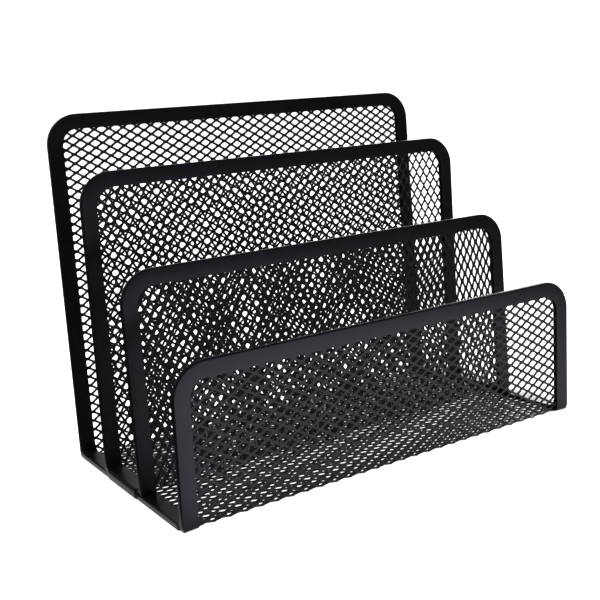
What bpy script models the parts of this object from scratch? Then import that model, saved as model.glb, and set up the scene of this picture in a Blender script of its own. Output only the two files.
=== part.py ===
"""Desktop file sorter: two folded sheets of expanded metal with folded steel rims.

The outer sheet makes the front wall, the floor and the back wall. The inner sheet makes the
two dividers and lies over the outer floor. Each wall has a channel rim round its sides and top,
and channel strips close the floor's side edges. Front is -Y, up is +Z, units are metres.
The origin is on the table, below the centre of the object's box.
"""

from collections import namedtuple
from math import cos, hypot, pi, radians, sin, tan

import bpy

# A wall: the place of its front face on the table, its height along the wall, its forward lean.
Wall = namedtuple("Wall", "name front height lean")

WIDTH = 0.174                 # across the rims
RIM_WIDTH = 0.0059            # how far a rim reaches in from the wall's edge
RIM_THICKNESS = 0.0024
STRIP_STEEL = 0.00045         # steel that the rims are folded from
CORNER_RADIUS = 0.012         # upper corners of each wall
MESH_THICKNESS = 0.0008
BEND_RADIUS = 0.003           # sheet bends, at the middle of the sheet
GAP = 0.0003                  # clearance between touching pieces
EDGE_INSET = 0.0012           # from a rim's outer face to the sheet's edge inside it
NOTCH_INSET = RIM_WIDTH + GAP     # the sheets are cut back at the bends, where no rim holds them
NOTCH_TAPER = 0.001           # length over which a sheet narrows to its notch
CLAMP_OVERHANG = 0.0006       # how far the clamp strips stand out from the rims
CLAMP_WIDTH = RIM_WIDTH + CLAMP_OVERHANG
CLAMP_THICKNESS = 0.0039      # the clamp strips hold both floors
CLAMP_FOLD_RADIUS = 0.0010
CORNER_STEPS = 8
BEND_STEPS = 6
FOLD_STEPS = 4

OUTER_FLOOR = RIM_THICKNESS / 2                   # middle of the outer floor sheet
INNER_FLOOR = CLAMP_THICKNESS - OUTER_FLOOR       # middle of the inner floor sheet

FRONT = Wall("front", 0.0, 0.0548, radians(2.9))
LOW_DIVIDER = Wall("low_divider", 0.0327, 0.0802, 0.0)
HIGH_DIVIDER = Wall("high_divider", 0.0647, 0.1131, radians(1.2))
BACK = Wall("back", 0.0923, 0.1350, 0.0)
WALLS = (FRONT, LOW_DIVIDER, HIGH_DIVIDER, BACK)

# The leaning front wall's top is the object's foremost point. The origin lies midway.
FOREMOST = FRONT.front - (FRONT.height - RIM_THICKNESS / 2) * sin(FRONT.lean)
REARMOST = BACK.front + RIM_THICKNESS
MIDDLE = (FOREMOST + REARMOST) / 2


def clear_scene():
    for obj in list(bpy.data.objects):
        bpy.data.objects.remove(obj)


def coated_steel(name, colour, roughness):
    """Black powder-coated steel."""
    material = bpy.data.materials.new(name)
    material.use_nodes = True
    shader = material.node_tree.nodes["Principled BSDF"]
    shader.inputs["Base Color"].default_value = (*colour, 1.0)
    shader.inputs["Roughness"].default_value = roughness
    shader.inputs["Metallic"].default_value = 0.0
    return material


def arc(centre, radius, start, end, steps):
    """Points on an arc, from angle start to angle end, both included."""
    angles = [start + (end - start) * step / steps for step in range(steps + 1)]
    return [(centre[0] + radius * cos(a), centre[1] + radius * sin(a)) for a in angles]


def fold_profile(width, thickness, radius):
    """Middle line of a folded strip's section: x runs in from its outer face, y across it.

    radius is the fold's outer radius: half the thickness gives a full-round edge."""
    reach = thickness / 2 - STRIP_STEEL / 2
    bend = radius - STRIP_STEEL / 2
    offset = thickness / 2 - radius
    points = [(width, -reach)]
    points += arc((radius, -offset), bend, 1.5 * pi, pi, FOLD_STEPS)
    if offset > 0:
        points += arc((radius, offset), bend, pi, 0.5 * pi, FOLD_STEPS)
    else:
        points += arc((radius, offset), bend, pi, 0.5 * pi, FOLD_STEPS)[1:]
    points.append((width, reach))
    return points


def flat_curve(name, points):
    """A curve in its own XY plane, as a chain of straight segments."""
    data = bpy.data.curves.new(name, "CURVE")
    data.dimensions = "2D"
    data.fill_mode = "NONE"
    spline = data.splines.new("POLY")
    spline.points.add(len(points) - 1)
    for point, (x, y) in zip(spline.points, points):
        point.co = (x, y, 0.0, 1.0)
    return bpy.data.objects.new(name, data)


def channel(name, path, profile, material, parts):
    """A folded strip along a flat path: the profile's open end points to the path's right."""
    guide = flat_curve(name + "_path", path)
    section = flat_curve(name + "_section", profile)
    guide.data.bevel_mode = "OBJECT"
    guide.data.bevel_object = section
    bpy.context.scene.collection.objects.link(guide)
    bpy.context.view_layer.update()
    graph = bpy.context.evaluated_depsgraph_get()
    mesh = bpy.data.meshes.new_from_object(guide.evaluated_get(graph))
    bpy.data.objects.remove(guide)
    bpy.data.objects.remove(section)
    mesh.materials.clear()
    mesh.materials.append(material)
    strip = bpy.data.objects.new(name, mesh)
    parts.objects.link(strip)
    steel = strip.modifiers.new("steel", "SOLIDIFY")
    steel.thickness = STRIP_STEEL
    steel.offset = 0.0
    steel.use_even_offset = True
    mesh.shade_smooth()
    mesh.set_sharp_from_angle(angle=radians(40))
    return strip


def rim(wall, material, parts):
    """The channel round a wall's sides and top."""
    half = WIDTH / 2
    foot = RIM_THICKNESS / 2 * tan(wall.lean)
    shoulder = wall.height - CORNER_RADIUS
    path = [(-half, foot)]
    path += arc((CORNER_RADIUS - half, shoulder), CORNER_RADIUS, pi, pi / 2, CORNER_STEPS)
    path += arc((half - CORNER_RADIUS, shoulder), CORNER_RADIUS, pi / 2, 0.0, CORNER_STEPS)
    path.append((half, foot))
    profile = fold_profile(RIM_WIDTH, RIM_THICKNESS, RIM_THICKNESS / 2)
    hoop = channel(wall.name + "_rim", path, profile, material, parts)
    hoop.rotation_euler = (pi / 2 + wall.lean, 0.0, 0.0)
    hoop.location = (0.0, middle_of(wall) - MIDDLE, 0.0)
    return hoop


def middle_of(wall):
    """Where the wall's middle plane meets the table."""
    return wall.front + RIM_THICKNESS / 2


def floor_strips(name, front_wall, back_wall, profile, thickness, overhang, material, parts):
    """A left and a right channel strip along the floor's side edges, between two walls."""
    start = front_wall.front + RIM_THICKNESS + GAP
    end = back_wall.front - thickness * tan(back_wall.lean) - GAP
    for side, sign in (("left", -1), ("right", 1)):
        x = sign * (WIDTH / 2 + overhang)
        path = [(x, start - MIDDLE), (x, end - MIDDLE)]
        if sign > 0:
            path.reverse()
        strip = channel(f"{name}_{side}", path, profile, material, parts)
        strip.location.z = thickness / 2


def fillet(before, corner, after, radius, steps):
    """The arc that rounds a corner of a line in the YZ plane."""
    back = unit(before, corner)
    ahead = unit(after, corner)
    half_sum = (back[0] + ahead[0], back[1] + ahead[1])
    length = hypot(*half_sum)
    inward = (half_sum[0] / length, half_sum[1] / length)
    sine = abs(back[0] * inward[1] - back[1] * inward[0])
    cosine = back[0] * inward[0] + back[1] * inward[1]
    centre = (corner[0] + inward[0] * radius / sine, corner[1] + inward[1] * radius / sine)
    reach = radius * cosine / sine
    points = []
    for step in range(steps + 1):
        share = step / steps
        y = corner[0] + back[0] * reach * (1 - share) + ahead[0] * reach * share
        z = corner[1] + back[1] * reach * (1 - share) + ahead[1] * reach * share
        away = unit((y, z), centre)
        points.append((centre[0] + away[0] * radius, centre[1] + away[1] * radius))
    return points


def unit(end, start):
    """Unit vector from start to end."""
    y, z = end[0] - start[0], end[1] - start[1]
    length = hypot(y, z)
    return (y / length, z / length)


def on_wall(wall, height):
    """Point of a wall's middle plane at a height measured along the wall."""
    return (middle_of(wall) - height * sin(wall.lean), height * cos(wall.lean))


def wall_rows(wall, lowest):
    """Rows (y, z, half width) down one wall: its rounded top, its edge, its notch at the bend."""
    radius = CORNER_RADIUS - EDGE_INSET
    half = WIDTH / 2 - EDGE_INSET
    top = wall.height - EDGE_INSET
    rows = []
    for step in range(CORNER_STEPS + 1):
        angle = pi / 2 * step / CORNER_STEPS
        drop = radius * (1 - cos(angle))
        rows.append((*on_wall(wall, top - drop), half - radius * (1 - sin(angle))))
    rows.append((*on_wall(wall, lowest + NOTCH_TAPER), half))
    rows.append((*on_wall(wall, lowest), WIDTH / 2 - NOTCH_INSET))
    return rows


def bend_rows(wall, toward, floor):
    """Rows round the bend from a wall to the floor, and the floor's first full-width row."""
    corner = on_wall(wall, floor / cos(wall.lean))
    above = on_wall(wall, wall.height)
    away = (corner[0] + toward, floor)
    narrow = WIDTH / 2 - NOTCH_INSET
    rows = [(y, z, narrow) for y, z in fillet(above, corner, away, BEND_RADIUS, BEND_STEPS)]
    landing = rows[-1][0] + toward * NOTCH_TAPER
    rows.append((landing, floor, narrow))
    rows.append((landing + toward * NOTCH_TAPER, floor, WIDTH / 2 - EDGE_INSET))
    return rows


def floor_notch(wall, floor):
    """Rows of a floor sheet that is cut back where a wall's rim comes down through its edge."""
    half = WIDTH / 2 - EDGE_INSET
    narrow = WIDTH / 2 - NOTCH_INSET
    start = wall.front - GAP
    end = wall.front + RIM_THICKNESS + GAP
    return [(start - NOTCH_TAPER, floor, half), (start, floor, narrow),
            (end, floor, narrow), (end + NOTCH_TAPER, floor, half)]


def folded_sheet(name, front_wall, back_wall, crossed_by, floor, material, parts):
    """A sheet that is folded into a front wall, a floor and a back wall."""
    lowest = floor + BEND_RADIUS + NOTCH_TAPER
    rows = wall_rows(front_wall, lowest) + bend_rows(front_wall, 1, floor)
    for wall in crossed_by:
        rows += floor_notch(wall, floor)
    rows += reversed(wall_rows(back_wall, lowest) + bend_rows(back_wall, -1, floor))
    points = []
    for y, z, half in rows:
        points += [(-half, y - MIDDLE, z), (half, y - MIDDLE, z)]
    faces = [(2 * i, 2 * i + 1, 2 * i + 3, 2 * i + 2) for i in range(len(rows) - 1)]
    mesh = bpy.data.meshes.new(name)
    mesh.from_pydata(points, [], faces)
    mesh.materials.append(material)
    sheet = bpy.data.objects.new(name, mesh)
    parts.objects.link(sheet)
    metal = sheet.modifiers.new("metal", "SOLIDIFY")
    metal.thickness = MESH_THICKNESS
    metal.offset = 0.0
    mesh.shade_smooth()
    mesh.set_sharp_from_angle(angle=radians(40))
    return sheet


def main():
    clear_scene()
    parts = bpy.data.collections.new("desktop_file_sorter")
    bpy.context.scene.collection.children.link(parts)

    rim_paint = coated_steel("rim_paint", (0.018, 0.017, 0.021), 0.42)
    strip_paint = coated_steel("strip_paint", (0.024, 0.023, 0.028), 0.45)
    mesh_paint = coated_steel("mesh_paint", (0.010, 0.010, 0.011), 0.48)

    dividers = (LOW_DIVIDER, HIGH_DIVIDER)
    folded_sheet("outer_mesh", FRONT, BACK, dividers, OUTER_FLOOR, mesh_paint, parts)
    folded_sheet("inner_mesh", *dividers, (), INNER_FLOOR, mesh_paint, parts)
    for wall in WALLS:
        rim(wall, rim_paint, parts)

    thin = fold_profile(RIM_WIDTH, RIM_THICKNESS, RIM_THICKNESS / 2)
    thick = fold_profile(CLAMP_WIDTH, CLAMP_THICKNESS, CLAMP_FOLD_RADIUS)
    floor_strips("front_floor_strip", FRONT, LOW_DIVIDER, thin, RIM_THICKNESS, 0.0,
                 strip_paint, parts)
    floor_strips("middle_floor_clamp", LOW_DIVIDER, HIGH_DIVIDER, thick, CLAMP_THICKNESS,
                 CLAMP_OVERHANG, strip_paint, parts)
    floor_strips("rear_floor_strip", HIGH_DIVIDER, BACK, thin, RIM_THICKNESS, 0.0,
                 strip_paint, parts)


main()
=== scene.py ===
"""Looks of the desktop file sorter: expanded metal, folded steel rims and black powder coat.

Both sheets start as flat patterns, in x across and s along the sheet, and are folded into place
by Fold. Positions come from the CAD nodes. Units are metres, front is -Y, up is +Z.
"""

from math import atan, cos, hypot, pi, radians, sin, tan
from typing import NamedTuple

import bmesh
import bpy
import numpy as np
from mathutils import Matrix, Vector


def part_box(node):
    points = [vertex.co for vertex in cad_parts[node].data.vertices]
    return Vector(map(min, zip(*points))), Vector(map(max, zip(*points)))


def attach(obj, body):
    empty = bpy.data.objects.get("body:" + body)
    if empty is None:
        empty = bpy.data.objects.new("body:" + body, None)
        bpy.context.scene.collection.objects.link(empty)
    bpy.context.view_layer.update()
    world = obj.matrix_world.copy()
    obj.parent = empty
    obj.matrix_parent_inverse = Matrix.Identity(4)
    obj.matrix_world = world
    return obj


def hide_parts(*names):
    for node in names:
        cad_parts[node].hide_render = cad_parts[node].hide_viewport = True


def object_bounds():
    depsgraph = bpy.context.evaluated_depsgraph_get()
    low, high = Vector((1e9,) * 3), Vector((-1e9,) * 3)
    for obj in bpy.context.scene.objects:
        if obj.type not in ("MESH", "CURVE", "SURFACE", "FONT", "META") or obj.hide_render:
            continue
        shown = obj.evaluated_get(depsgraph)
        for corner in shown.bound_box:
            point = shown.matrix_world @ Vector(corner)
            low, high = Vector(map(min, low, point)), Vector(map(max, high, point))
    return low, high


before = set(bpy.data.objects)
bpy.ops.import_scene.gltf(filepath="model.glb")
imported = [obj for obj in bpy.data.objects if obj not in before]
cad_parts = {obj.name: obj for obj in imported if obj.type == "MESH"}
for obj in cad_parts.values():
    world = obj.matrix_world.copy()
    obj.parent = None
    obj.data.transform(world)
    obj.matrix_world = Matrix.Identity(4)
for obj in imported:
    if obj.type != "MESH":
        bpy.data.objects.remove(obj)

CAD_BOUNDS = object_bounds()

MM = 0.001
RIM_THICKNESS = 2.4 * MM
CORNER_RADIUS = 12.0 * MM     # upper corners of the walls


# ---------------------------------------------------------------- folded sheets

class Wall:
    """A wall's middle plane, read from its rim's box: its place on the table, height and lean."""

    def __init__(self, rim):
        low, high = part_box(rim)
        half = RIM_THICKNESS / 2
        self.lean = atan((high.y - RIM_THICKNESS - low.y) / (high.z - half))
        self.foot = high.y - half
        self.height = (high.z - half) / cos(self.lean) + half
        self.half_width = high.x

    def at(self, height):
        """Point (y, z) of the middle plane at a height along the wall."""
        return np.array((self.foot - height * sin(self.lean), height * cos(self.lean)))


class Fold:
    """A sheet's middle surface, folded from flat. s runs from the front wall's top edge, down,
    along the floor and up to the back wall's top edge."""

    STEP = 0.05 * MM          # spacing of the samples that give y and z for each s

    def __init__(self, front, back, floor, bend):
        corners = [front.at(front.height), front.at(floor / cos(front.lean)),
                   back.at(floor / cos(back.lean)), back.at(back.height)]
        runs = [b - a for a, b in zip(corners, corners[1:])]
        lengths = [hypot(*run) for run in runs]
        headings = [np.arctan2(run[1], run[0]) for run in runs]
        turns = [b - a for a, b in zip(headings, headings[1:])]
        arcs = [bend * turn for turn in turns]
        setbacks = [bend * tan(turn / 2) for turn in turns]
        straights = [lengths[0] - setbacks[0], lengths[1] - sum(setbacks),
                     lengths[2] - setbacks[1]]
        stretches = [straights[0], arcs[0], straights[1], arcs[1], straights[2]]
        self.bend = bend
        self.half_width = front.half_width
        self.knots = np.cumsum([0.0] + stretches)
        self.knot_headings = [heading for heading in headings for _ in range(2)]
        _, front_end, self.floor_start, self.floor_end, back_start, self.length = self.knots
        self.turns = [(front_end, self.floor_start, turns[0]),
                      (self.floor_end, back_start, turns[1])]

        self.grid = np.linspace(0.0, self.length, int(self.length / self.STEP) + 1)
        middles = (self.grid[1:] + self.grid[:-1]) / 2
        grid_headings = np.interp(middles, self.knots, self.knot_headings)
        steps = np.diff(self.grid)
        forward = np.cumsum(steps * np.cos(grid_headings))
        upward = np.cumsum(steps * np.sin(grid_headings))
        self.y = corners[0][0] + np.concatenate(([0.0], forward))
        self.z = corners[0][1] + np.concatenate(([0.0], upward))

    def place(self, x, s, w):
        """3-D points for flat points. w is the height above the sheet, on the U's outer side.
        On the inner side, points past a bend's centre meet in a sharp inner corner."""
        for start, end, turn in self.turns:
            cut = np.maximum(-w - self.bend, 0.0) * tan(turn / 2)
            middle = (start + end) / 2
            s = np.where((cut > 0) & (s > start - cut) & (s < middle), start - cut, s)
            s = np.where((cut > 0) & (s < end + cut) & (s >= middle), end + cut, s)
        heading = np.interp(s, self.knots, self.knot_headings)
        y = np.interp(s, self.grid, self.y) + w * np.sin(heading)
        z = np.interp(s, self.grid, self.z) - w * np.cos(heading)
        return np.stack((x + 0.0 * s, y, z), axis=-1)


def mesh_object(name, points, faces, material):
    """A new object made of these points and faces, in the scene."""
    mesh = bpy.data.meshes.new(name)
    mesh.from_pydata(np.asarray(points).tolist(), [], faces)
    mesh.update()
    mesh.materials.append(material)
    piece = bpy.data.objects.new(name, mesh)
    bpy.context.scene.collection.objects.link(piece)
    return piece


# ---------------------------------------------------------------- expanded metal

class Pattern(NamedTuple):
    """How a sheet of expanded metal is cut and stretched."""
    upright: bool             # whether the diamonds' long way runs along s, not across
    uneven: bool              # whether the openings drift off an even pattern
    long_pitch: float         # sizes of a diamond, middle to middle
    short_pitch: float
    strand: float             # width of a strand, seen square on
    phase: tuple              # place of one diamond's middle, as (x, s)
    skew: float               # how far x moves for each metre of s
    knot_twist: float         # how far a knot's edges stand out of the sheet's middle


OUTER_PATTERN = Pattern(upright=False, uneven=False, long_pitch=5.98 * MM,
                        short_pitch=3.5852 * MM, strand=0.63 * MM,
                        phase=(2.41 * MM, -0.45 * MM), skew=0.0056, knot_twist=0.11 * MM)
INNER_PATTERN = Pattern(upright=True, uneven=True, long_pitch=6.267 * MM,
                        short_pitch=3.68 * MM, strand=0.58 * MM,
                        phase=(0.80 * MM, -1.07 * MM), skew=0.0035, knot_twist=-0.34 * MM)

# the uneven sheet's drift in mm, as (across, along) on each divider: each row holds the amounts
# for the powers 0, 1, 2 ... of the place across, which is -1 at the left edge and 1 at the right
LOW_DRIFT = ((2.57, -1.29, -1.22, -0.82), (-0.89, 1.89, -1.03))
HIGH_DRIFT = ((-0.26, -2.10, 2.37, 0.54), (-0.38, 0.64))
HIGH_LEAN = -0.0056           # drift across for each metre of s, 0 at the high divider's top edge

MESH_STEEL = 0.35 * MM        # thickness of the sheets
KNOT_LENGTH = 1.05 * MM       # the knots between the strands
KNOT_HEIGHT = 1.28 * MM
TIP_BLUNT = 0.16 * MM         # how far an opening's sharp ends are cut back
SHEET_INSET = 1.5 * MM        # the sheet's edge lies this far inside the rim's outer face
SQUEEZE_FROM = 4.4 * MM       # under the rim the pattern is squeezed to end at the sheet's edge
SQUEEZE_REACH = 5.2 * MM
WELD = 0.05 * MM              # corners of neighbouring hexagons this close are one point
SPARE_ROWS, SPARE_COLUMNS = 3, 4   # tried past the edges, for what drifts onto the sheet


def beyond(x, s, fold):
    """How far flat points lie outside the line where the squeeze starts, and which way."""
    corner = CORNER_RADIUS - SQUEEZE_FROM
    dx = np.abs(x) - (fold.half_width - SQUEEZE_FROM - corner)
    ds = np.abs(s - fold.length / 2) - (fold.length / 2 - SQUEEZE_FROM - corner)
    outside = np.hypot(np.maximum(dx, 0.0), np.maximum(ds, 0.0))
    inside = np.minimum(np.maximum(dx, ds), 0.0)
    size = np.maximum(outside, 1e-9)      # never zero, as it is divided by
    way = np.stack((np.maximum(dx, 0.0) / size * np.sign(x),
                    np.maximum(ds, 0.0) / size * np.sign(s - fold.length / 2)), axis=-1)
    return outside + inside - corner, way


def diamond(pattern):
    """One mesh of expanded metal round (0, 0), long way along the first axis: the hexagon that
    it shares with its neighbours, its opening, and the faces between them, whose corners are
    numbered through the hexagon's points and then the opening's."""
    half_long, half_short = pattern.long_pitch / 2, pattern.short_pitch / 2
    knot = KNOT_LENGTH / 2
    hexagon = [(half_long - knot, 0.0), (knot, half_short), (-knot, half_short),
               (knot - half_long, 0.0), (-knot, -half_short), (knot, -half_short)]
    run = half_long - 2 * knot
    slope = hypot(run, half_short)
    tip = half_long - knot - pattern.strand / 2 * slope / half_short
    end = tip - TIP_BLUNT
    top = half_short - KNOT_HEIGHT / 2
    side = knot - (KNOT_HEIGHT - pattern.strand) / 2 * run / slope
    opening = [(end, -TIP_BLUNT), (end, TIP_BLUNT), (side, top), (-side, top),
               (-end, TIP_BLUNT), (-end, -TIP_BLUNT), (-side, -top), (side, -top)]
    faces = [(6, 0, 7), (7, 0, 1, 8), (8, 1, 2, 9), (9, 2, 3, 10), (10, 3, 11),
             (11, 3, 4, 12), (12, 4, 5, 13), (13, 5, 0, 6)]
    return hexagon, opening, faces


def drift(fold, x, s):
    """How far the uneven sheet's openings lie from an even pattern, as (across, along). It is
    one amount on the low divider and another on the high one, blended along the floor."""
    share = np.clip((s - fold.floor_start) / (fold.floor_end - fold.floor_start), 0.0, 1.0)
    side = x / fold.half_width
    on_low, on_high = ([sum(amount * MM * side ** power for power, amount in enumerate(amounts))
                        for amounts in wall] for wall in (LOW_DRIFT, HIGH_DRIFT))
    across, along = [low + (high - low) * share for low, high in zip(on_low, on_high)]
    return across + HIGH_LEAN * share * (s - fold.length), along


def flat_sheet(fold, pattern):
    """The diamonds that lie on a sheet, joined: their points (x, s), how far each point is
    twisted out of the sheet's middle, and the faces."""
    hexagon, opening, cell_faces = diamond(pattern)
    shape = np.array(hexagon + opening)
    at_knot = np.abs(shape[:, 1]) > pattern.short_pitch / 4
    twist = pattern.knot_twist * np.sign(shape[:, 1]) * at_knot
    twist[:len(hexagon)] = 0.0
    across, along = pattern.long_pitch, pattern.short_pitch
    if pattern.upright:
        across, along = along, across
        shape = shape[:, ::-1]
        cell_faces = [face[::-1] for face in cell_faces]

    columns = int(fold.half_width / (across / 2)) + SPARE_COLUMNS
    rows = int(fold.length / (along / 2)) + SPARE_ROWS
    points, lifts, faces = [], [], []
    known = {}
    for row in range(-SPARE_ROWS, rows):
        for column in range(-columns, columns + 1):
            if (row + column) % 2:
                continue
            cs = pattern.phase[1] + row * along / 2
            cx = pattern.phase[0] + column * across / 2 + pattern.skew * cs
            aside, onward = drift(fold, cx, cs) if pattern.uneven else (0.0, 0.0)
            depth, _ = beyond(cx + aside, cs + onward, fold)
            if depth > SQUEEZE_REACH - pattern.long_pitch / 2:
                continue
            numbers = []
            for number, ((x, s), lift) in enumerate(zip(shape, twist)):
                key = (round((cx + x) / WELD), round((cs + s) / WELD))
                if number < len(hexagon) and key in known:
                    numbers.append(known[key])
                    continue
                known[key] = len(points)
                numbers.append(len(points))
                points.append((cx + x, cs + s))
                lifts.append(lift)
            faces += [[numbers[i] for i in face] for face in cell_faces]
    return np.array(points), np.array(lifts), faces


def expanded_metal(name, fold, pattern, material):
    """A folded sheet of expanded metal, squeezed under the rim to end at the sheet's edge."""
    points, lifts, faces = flat_sheet(fold, pattern)
    x, s = points.T
    if pattern.uneven:
        aside, onward = drift(fold, x, s)
        x, s = x + aside, s + onward
    depth, way = beyond(x, s, fold)
    squeeze = np.maximum(depth, 0.0) * (1 - (SQUEEZE_FROM - SHEET_INSET) / SQUEEZE_REACH)
    x = x - way[:, 0] * squeeze
    s = s - way[:, 1] * squeeze
    piece = mesh_object(name, fold.place(x, s, lifts), faces, material)
    steel = piece.modifiers.new("steel", "SOLIDIFY")
    steel.thickness = MESH_STEEL
    steel.offset = 0.0
    return piece


# ---------------------------------------------------------------- folded rims

RIM_WIDTH = 5.9 * MM
STEEL = 0.45 * MM             # strip that the rims are folded from
FLANGE_TAPER = 0.22 * MM      # how much the flanges close on the sheet at their tips
CLAMP_BLEND = 3.6 * MM        # length over which a divider's rim widens into the floor clamp
NOSE_STEPS = 5                # faces round each fold of a rim's section
BEND_SAMPLES = 9              # sections along each bend, and along each blend beside it
CORNER_STEPS = 16             # sections round each upper corner
SHARP_ANGLE = radians(40)


def channel_profile(inner, outer, overhang, nose):
    """Closed section of a folded strip, as (u, w): u runs in from the wall's edge, w across.
    inner and outer are how far its two flanges stand from the sheet's middle, nose is the
    radius of its two folds."""
    quarter = [pi / 2 * step / NOSE_STEPS for step in range(NOSE_STEPS + 1)]

    def skin(inset):
        """One side of the steel, from the outer flange's tip, round the edge, to the inner's."""
        radius = nose - inset
        top, bottom = outer - inset, inner - inset
        points = [(RIM_WIDTH, top - FLANGE_TAPER)]
        for side, height, turns in ((1, top, quarter), (-1, bottom, quarter[::-1])):
            for turn in turns:
                u = nose - overhang - radius * sin(turn)
                points.append((u, side * (height - radius * (1 - cos(turn)))))
        points.append((RIM_WIDTH, FLANGE_TAPER - bottom))
        return points

    return skin(0.0) + skin(STEEL)[::-1]


def side_samples(fold, start, end):
    """Places along s, close together in the bends and where a rim changes beside them."""
    samples = [start, end]
    for bend_start, bend_end, _ in fold.turns:
        marks = (bend_start - CLAMP_BLEND, bend_start, bend_end, bend_end + CLAMP_BLEND)
        for first, last in zip(marks, marks[1:]):
            samples += list(np.linspace(first, last, BEND_SAMPLES))
    # rounded, so that a place found twice counts once
    return sorted({round(float(s), 7) for s in samples if start <= s <= end})


def hoop_outline(fold, stop, from_front):
    """Outline points (x, s, inward x, inward s) from s = stop on the left side, over a wall's
    top edge, to s = stop on the right side."""
    half_width, radius = fold.half_width, CORNER_RADIUS
    if from_front:
        edge, inward = 0.0, 1.0
        leg = side_samples(fold, radius, stop)[::-1]
    else:
        edge, inward = fold.length, -1.0
        leg = side_samples(fold, stop, fold.length - radius)
    angles = [pi / 2 * step / CORNER_STEPS for step in range(1, CORNER_STEPS + 1)]
    outline = [(-half_width, s, 1.0, 0.0) for s in leg]
    for side, corner in ((-1, angles), (1, angles[::-1])):
        for angle in corner:
            nx, ns = -side * cos(angle), inward * sin(angle)
            outline.append((side * (half_width - radius) - nx * radius,
                            edge + inward * radius - ns * radius, nx, ns))
    return outline + [(half_width, s, -1.0, 0.0) for s in leg[::-1]]


def sweep(name, fold, path, profiles, closed, material):
    """A channel whose section follows the outline points, one profile for each point."""
    x, s, nx, ns = np.array(path).T
    ring = np.array(profiles)
    u, w = ring[..., 0], ring[..., 1]
    flat_x = x[:, None] + nx[:, None] * u
    flat_s = s[:, None] + ns[:, None] * u
    points = fold.place(flat_x, flat_s, w).reshape(-1, 3)
    count, size = w.shape
    faces = []
    for i in range(count if closed else count - 1):
        j = (i + 1) % count
        for k in range(size):
            n = (k + 1) % size
            faces.append((i * size + k, j * size + k, j * size + n, i * size + n))
    if not closed:
        for end in (0, (count - 1) * size):
            for k in range(size // 2 - 1):
                faces.append((end + k, end + k + 1, end + size - 2 - k, end + size - 1 - k))
    piece = mesh_object(name, points, faces, material)
    smooth(piece)
    return piece


def smooth(piece):
    """Turns the faces outward and shades them smooth, except across sharp edges."""
    mesh = piece.data
    shape = bmesh.new()
    shape.from_mesh(mesh)
    bmesh.ops.recalc_face_normals(shape, faces=shape.faces)
    shape.to_mesh(mesh)
    shape.free()
    mesh.shade_smooth()
    mesh.set_sharp_from_angle(angle=SHARP_ANGLE)


# ---------------------------------------------------------------- materials

COAT_TINT = (0.82, 0.79, 1.0, 1.0)   # of the coat's highlights
PEEL_SCALE, PEEL_DEPTH, PEEL_STRENGTH = 1400.0, 0.02 * MM, 0.25
PATCH_SCALE = 90.0
PATCH_GLOSS = 0.04            # how much rougher or smoother a patch is
PATCH_TINT = 0.15             # how much darker or lighter a patch is, as a share


def new_material(name, values):
    """A material with these values on its shader's sockets."""
    material = bpy.data.materials.new(name)
    material.use_nodes = True
    shader = material.node_tree.nodes["Principled BSDF"]
    for socket, value in values.items():
        shader.inputs[socket].default_value = value
    return material


def add_node(tree, kind, inputs, **settings):
    """A new node. Each of its inputs is a value, or another node's output to link to."""
    node = tree.nodes.new(kind)
    for setting, value in settings.items():
        setattr(node, setting, value)
    for socket, value in inputs.items():
        if isinstance(value, bpy.types.NodeSocket):
            tree.links.new(value, node.inputs[socket])
        else:
            node.inputs[socket].default_value = value
    return node


def fade(tree, value, gone, full, low=0.0, high=1.0):
    """A smooth ramp that goes from low to high while a value goes from gone to full."""
    ends = {"Value": value, "From Min": gone, "From Max": full, "To Min": low, "To Max": high}
    ramp = add_node(tree, "ShaderNodeMapRange", ends, interpolation_type="SMOOTHSTEP")
    return ramp.outputs["Result"]


def combine(tree, operation, *values):
    """The result of a Math node on numbers or other nodes' outputs."""
    node = add_node(tree, "ShaderNodeMath", dict(enumerate(values)), operation=operation)
    return node.outputs["Value"]


def powder_coat(name, colour, roughness, shine):
    """Satin black powder coat: a fine orange-peel surface with slightly uneven gloss."""
    material = new_material(name, {"Metallic": 0.0, "IOR": 1.5, "Specular IOR Level": shine,
                                   "Specular Tint": COAT_TINT})
    tree = material.node_tree
    shader = tree.nodes["Principled BSDF"]
    place = add_node(tree, "ShaderNodeTexCoord", {}).outputs["Object"]

    peel = add_node(tree, "ShaderNodeTexNoise",
                    {"Vector": place, "Scale": PEEL_SCALE, "Detail": 2.0})
    bump = add_node(tree, "ShaderNodeBump", {"Height": peel.outputs["Fac"],
                                             "Strength": PEEL_STRENGTH, "Distance": PEEL_DEPTH})
    tree.links.new(bump.outputs["Normal"], shader.inputs["Normal"])

    patches = add_node(tree, "ShaderNodeTexNoise",
                       {"Vector": place, "Scale": PATCH_SCALE, "Detail": 4.0}).outputs["Fac"]
    gloss = add_node(tree, "ShaderNodeMapRange",
                     {"Value": patches, "To Min": roughness - PATCH_GLOSS,
                      "To Max": roughness + PATCH_GLOSS})
    tree.links.new(gloss.outputs["Result"], shader.inputs["Roughness"])
    dark, light = [(*[part * share for part in colour], 1.0)
                   for share in (1 - PATCH_TINT, 1 + PATCH_TINT)]
    tint = add_node(tree, "ShaderNodeMix", {"Factor": patches, "A": dark, "B": light},
                    data_type="RGBA")
    tree.links.new(tint.outputs["Result"], shader.inputs["Base Color"])
    return material


def glowing(name, grey, glow):
    """A matt material of an even grey that also gives off white light."""
    return new_material(name, {"Base Color": (grey, grey, grey, 1.0), "Specular IOR Level": 0.0,
                               "Emission Color": (1.0, 1.0, 1.0, 1.0),
                               "Emission Strength": glow})


# ---------------------------------------------------------------- the object

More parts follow.
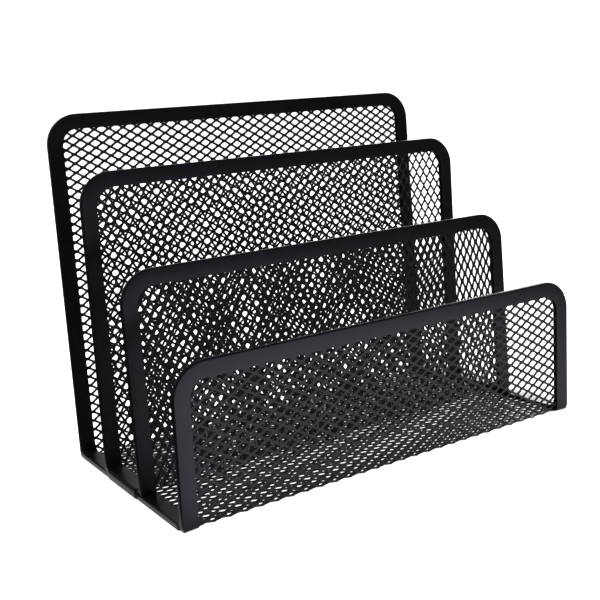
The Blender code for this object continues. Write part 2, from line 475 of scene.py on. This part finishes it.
OUTER_FLOOR = 0.35 * MM       # height of the sheets' middle over the table along the floor
INNER_FLOOR = 2.7 * MM
OUTER_BEND = 1.2 * MM         # bend radii, at the middle of the sheets and of the rims
INNER_BEND = 3.0 * MM
RIM_BEND = 0.3 * MM
RIM_CLEARANCE = 0.05 * MM     # the rims' sharp folds stay this far inside the CAD rims' faces
STRIP_NOSE = 0.5 * MM         # outer radius of the two folds along a rim, and along the clamp
CLAMP_NOSE = 1.0 * MM
FRONT_TUCK = 4.0 * MM         # the front and back hoops run this far on, past the middle of a
BACK_TUCK = 3.0 * MM          # divider's foot, under the clamps
GUSSET = 1.1 * MM             # how far the steel bulges into the corner at a wall's foot
GUSSET_REACH = 4.0 * MM
CLAMP_START = 2.0 * MM        # from the floor's start to the clamp's front end
CLAMP_STEP = 1.4 * MM         # length over which that end rises
CRUSH_PLACE = 0.9 * MM        # from the floor's ends to the middle of a crushed corner
CRUSH_REACH = 2.0 * MM
OUTER_CRUSH = (0.6 * MM, 0.1 * MM)      # depths at the floor's front and back end
DIVIDER_CRUSH = (1.2 * MM, 0.1 * MM)

RIM_COAT = ((0.0044, 0.0041, 0.0054), 0.34, 0.23)     # colour, roughness and shine
MESH_COAT = ((0.0170, 0.0162, 0.0190), 0.42, 0.13)


def ease(t):
    """0 up to t = 0 and 1 from t = 1, with a smooth step between."""
    t = min(max(t, 0.0), 1.0)
    return t * t * (3 - 2 * t)


def clamp_share(fold, s):
    """0 on the walls and 1 along the clamp, which starts behind the lower divider's foot."""
    starts = ease((s - fold.floor_start - CLAMP_START) / CLAMP_STEP)
    return starts * ease((fold.floor_end - s) / CLAMP_BLEND)


def gusset(fold, s):
    """How far a rim bulges into the inner corner at a wall's foot."""
    past = min(max(start - s, s - end, 0.0) for start, end, _ in fold.turns)
    return GUSSET * ease(1.0 - past / GUSSET_REACH)


def crush(fold, s, depths):
    """How far a rim's side is pressed in just past the feet of its front and back wall."""
    places = (fold.floor_start + CRUSH_PLACE, fold.floor_end - CRUSH_PLACE)
    return max(depth * ease(2.0 * (1.0 - abs(s - place) / CRUSH_REACH))
               for place, depth in zip(places, depths))


def edge_hoop(name, fold, half, stop, from_front, material):
    """The rim of the front or the back wall, its floor strips, and their ends under the clamps."""
    path = hoop_outline(fold, stop, from_front)
    profiles = [channel_profile(half + gusset(fold, s), half, -crush(fold, s, OUTER_CRUSH),
                                STRIP_NOSE) for _, s, _, _ in path]
    return sweep(name, fold, path, profiles, False, material)


def divider_hoop(low, high, half, material):
    """Both dividers' rims and the clamps between their feet, as one closed loop."""
    clamp_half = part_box("middle_floor_clamp_left")[1].z / 2
    clamp_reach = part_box("middle_floor_clamp_right")[1].x - low.half_width
    fold = Fold(low, high, clamp_half, RIM_BEND)
    middle = fold.length / 2
    path = hoop_outline(fold, middle, True) + hoop_outline(fold, middle, False)[1:-1][::-1]
    profiles = []
    for _, s, nx, _ in path:
        on_side = abs(nx) == 1.0
        share = clamp_share(fold, s) if on_side else 0.0
        thickness = half + (clamp_half - half) * share
        overhang = clamp_reach * share - crush(fold, s, DIVIDER_CRUSH)
        nose = STRIP_NOSE + (CLAMP_NOSE - STRIP_NOSE) * share
        profiles.append(channel_profile(thickness + gusset(fold, s), thickness, overhang, nose))
    return sweep("divider_hoop", fold, path, profiles, True, material)


def both_sides(node):
    return [f"{node}_left", f"{node}_right"]


def build():
    """All the object's pieces. Each rides on the one body and stands for its CAD nodes."""
    front, low = Wall("front_rim"), Wall("low_divider_rim")
    high, back = Wall("high_divider_rim"), Wall("back_rim")
    rim_paint = powder_coat("rim_powder_coat", *RIM_COAT)
    mesh_paint = powder_coat("mesh_powder_coat", *MESH_COAT)

    outer = expanded_metal("outer_expanded_metal", Fold(front, back, OUTER_FLOOR, OUTER_BEND),
                           OUTER_PATTERN, mesh_paint)
    inner = expanded_metal("inner_expanded_metal", Fold(low, high, INNER_FLOOR, INNER_BEND),
                           INNER_PATTERN, mesh_paint)

    half = RIM_THICKNESS / 2 - RIM_CLEARANCE
    edge = Fold(front, back, half, RIM_BEND)
    front_stop = edge.floor_start + (low.foot + FRONT_TUCK - front.foot)
    back_stop = edge.floor_end - (back.foot - high.foot + BACK_TUCK)
    front_hoop = edge_hoop("front_hoop", edge, half, front_stop, True, rim_paint)
    back_hoop = edge_hoop("back_hoop", edge, half, back_stop, False, rim_paint)
    dividers = divider_hoop(low, high, half, rim_paint)

    standing_for = (
        (outer, "mesh_paint", ["outer_mesh"]),
        (inner, "mesh_paint", ["inner_mesh"]),
        (front_hoop, "rim_paint", ["front_rim", *both_sides("front_floor_strip")]),
        (back_hoop, "rim_paint", ["back_rim", *both_sides("rear_floor_strip")]),
        (dividers, "rim_paint", ["low_divider_rim", "high_divider_rim",
                                 *both_sides("middle_floor_clamp")]),
    )
    for piece, slot, nodes in standing_for:
        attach(piece, "root")
        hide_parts(*nodes)
    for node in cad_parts.values():
        node.data.materials.clear()
        node.data.materials.append(mesh_paint if "mesh" in node.name else rim_paint)


# ---------------------------------------------------------------- floor, light and camera

FLOOR_REACH = 3.0             # half the width of the floor
FLOOR_GREY, FLOOR_GLOW = 0.8, 1.0
BACKDROP_RADIUS, BACKDROP_GLOW = 4.5, 1.4
SUN_ENERGY, SUN_SIZE = 3.0, radians(70)
SUN_TILT = radians(-8)        # about x and y

CARD_HEIGHT = 0.1 * MM        # both cards lie this far over the table
CARD_REACH = 4.0              # half the width of the outer card
CARD_MARGIN = 0.003           # the inner card reaches this far round the object
NEAR_GLOW = 0.9
POOL_CENTRE = (-0.04, -0.23, 0.0)
POOL_CORE, POOL_END = 0.10, 0.34   # the pool is brightest inside the one, faintest past the other
POOL_FAINT, POOL_BRIGHT = 0.10, 2.6
POOL_SIDE = 0.015             # it also fades out this far on either side of the object's left

ROOM_LOW, ROOM_HIGH = sin(radians(20)), sin(radians(32))   # the room is dark above this band
ROOM_DARK = 0.08
# lit parts of the room: azimuth from +Y towards +X, brightness, and how square to that azimuth
# a direction is where the light starts and where it is full
WALL_LIGHT = (radians(23), 2.6, 0.80, 0.95)
WINDOW_LIGHT = (radians(55), 4.5, 0.86, 0.95)

EYE = (-0.2000, -0.31104, 0.1275)
YAW, PITCH, ROLL = radians(31.89), radians(6.85), radians(-4.5)
LENS, SENSOR = 57.0, 36.0
LENS_SHIFT = -70 / 600


def studio():
    """Everything round the object: the floor, the paper, the cards, the room and the lamp."""
    r = FLOOR_REACH
    floor = mesh_object("floor", [(-r, -r, 0), (r, -r, 0), (r, r, 0), (-r, r, 0)], [(0, 1, 2, 3)],
                        glowing("white_floor", FLOOR_GREY, FLOOR_GLOW))
    cards()
    backdrop()
    surroundings()

    light = bpy.data.lights.new("overhead", "SUN")
    light.angle = SUN_SIZE
    light.energy = SUN_ENERGY
    lamp = bpy.data.objects.new("overhead", light)
    lamp.rotation_euler = (SUN_TILT, SUN_TILT, 0.0)
    lamp.visible_glossy = False
    bpy.context.scene.collection.objects.link(lamp)


def backdrop():
    """White paper all round the set, seen only by the camera."""
    bpy.ops.mesh.primitive_uv_sphere_add(segments=48, ring_count=24, radius=BACKDROP_RADIUS)
    sphere = bpy.context.object
    sphere.name = "backdrop"
    sphere.data.materials.append(glowing("white_paper", 0.0, BACKDROP_GLOW))
    sphere.visible_diffuse = False
    sphere.visible_glossy = False
    sphere.visible_transmission = False
    sphere.visible_shadow = False


def cards():
    """Two cards just over the table, seen only in reflections. The inner one, an even glow, lies
    under the object. The outer one, a pool of light in front of the object, lies round it."""
    (left, front, _), (right, back, _) = CAD_BOUNDS
    xs = (-CARD_REACH, left - CARD_MARGIN, right + CARD_MARGIN, CARD_REACH)
    ys = (-CARD_REACH, front - CARD_MARGIN, back + CARD_MARGIN, CARD_REACH)
    points = [(x, y, CARD_HEIGHT) for y in ys for x in xs]
    nine = [(4 * row + column, 4 * row + column + 1, 4 * row + column + 5, 4 * row + column + 4)
            for row in range(3) for column in range(3)]
    middle = nine.pop(4)
    # past the pool, and past the object's left side, the outer card is black: painted shade on the
    # table, seen only in reflections
    outer = mesh_object("table_glow", points, nine, pool_of_light(left))
    inner = mesh_object("near_glow", [points[i] for i in middle], [(0, 1, 2, 3)],
                        glowing("near_glow", 0.0, NEAR_GLOW))
    for card in (outer, inner):
        card.visible_camera = False
        card.visible_shadow = False
        card.visible_diffuse = False


def pool_of_light(left):
    """A glow that is bright round the pool's centre, and gone past the object's left side."""
    material = glowing("table_glow", 0.0, 1.0)
    tree = material.node_tree
    place = add_node(tree, "ShaderNodeTexCoord", {}).outputs["Object"]
    away = add_node(tree, "ShaderNodeVectorMath", {0: place, 1: POOL_CENTRE},
                    operation="DISTANCE")
    pool = fade(tree, away.outputs["Value"], POOL_END, POOL_CORE, POOL_FAINT, POOL_BRIGHT)
    split = add_node(tree, "ShaderNodeSeparateXYZ", {"Vector": place})
    # no glow past the object's left side, which leaves painted shade on the table in reflections
    beside = fade(tree, split.outputs["X"], left - POOL_SIDE, left + POOL_SIDE)
    strength = combine(tree, "MULTIPLY", pool, beside)
    tree.links.new(strength, tree.nodes["Principled BSDF"].inputs["Emission Strength"])
    return material


def surroundings():
    """The room's light: bright low down behind the object, most of all towards a window on the
    right, and dark elsewhere. The backdrop hides the room from the camera."""
    world = bpy.data.worlds.new("studio")
    world.use_nodes = True
    tree = world.node_tree
    place = add_node(tree, "ShaderNodeTexCoord", {})
    split = add_node(tree, "ShaderNodeSeparateXYZ", {"Vector": place.outputs["Generated"]})

    def facing(azimuth, start, full):
        """1 round an azimuth, fading to 0 further away."""
        rightward = combine(tree, "MULTIPLY", split.outputs["X"], sin(azimuth))
        toward = combine(tree, "MULTIPLY_ADD", split.outputs["Y"], cos(azimuth), rightward)
        return fade(tree, toward, start, full)

    azimuth, brightness, *ends = WALL_LIGHT
    wall = combine(tree, "MULTIPLY", facing(azimuth, *ends), brightness)
    azimuth, brightness, *ends = WINDOW_LIGHT
    lit = combine(tree, "MULTIPLY_ADD", facing(azimuth, *ends), brightness, wall)
    low = fade(tree, split.outputs["Z"], ROOM_HIGH, ROOM_LOW)
    strength = combine(tree, "MULTIPLY_ADD", low, lit, ROOM_DARK)
    background = tree.nodes["Background"]
    background.inputs["Color"].default_value = (1.0, 1.0, 1.0, 1.0)
    tree.links.new(strength, background.inputs["Strength"])
    bpy.context.scene.world = world


def camera():
    """The view: from the front left, a little above, and rolled to one side."""
    ahead = Vector((sin(YAW) * cos(PITCH), cos(YAW) * cos(PITCH), -sin(PITCH)))
    level = Vector((cos(YAW), -sin(YAW), 0.0))
    upright = level.cross(ahead)
    right = level * cos(ROLL) + upright * sin(ROLL)
    up = upright * cos(ROLL) - level * sin(ROLL)
    lens = bpy.data.cameras.new("camera")
    lens.sensor_width = SENSOR
    lens.lens = LENS
    lens.shift_y = LENS_SHIFT
    lens.clip_start = 0.01
    viewer = bpy.data.objects.new("camera", lens)
    turn = Matrix((right, up, -ahead)).transposed().to_4x4()
    viewer.matrix_world = Matrix.Translation(EYE) @ turn
    bpy.context.scene.collection.objects.link(viewer)
    bpy.context.scene.camera = viewer


camera()
build()
studio()
bpy.context.scene.view_settings.view_transform = "Standard"
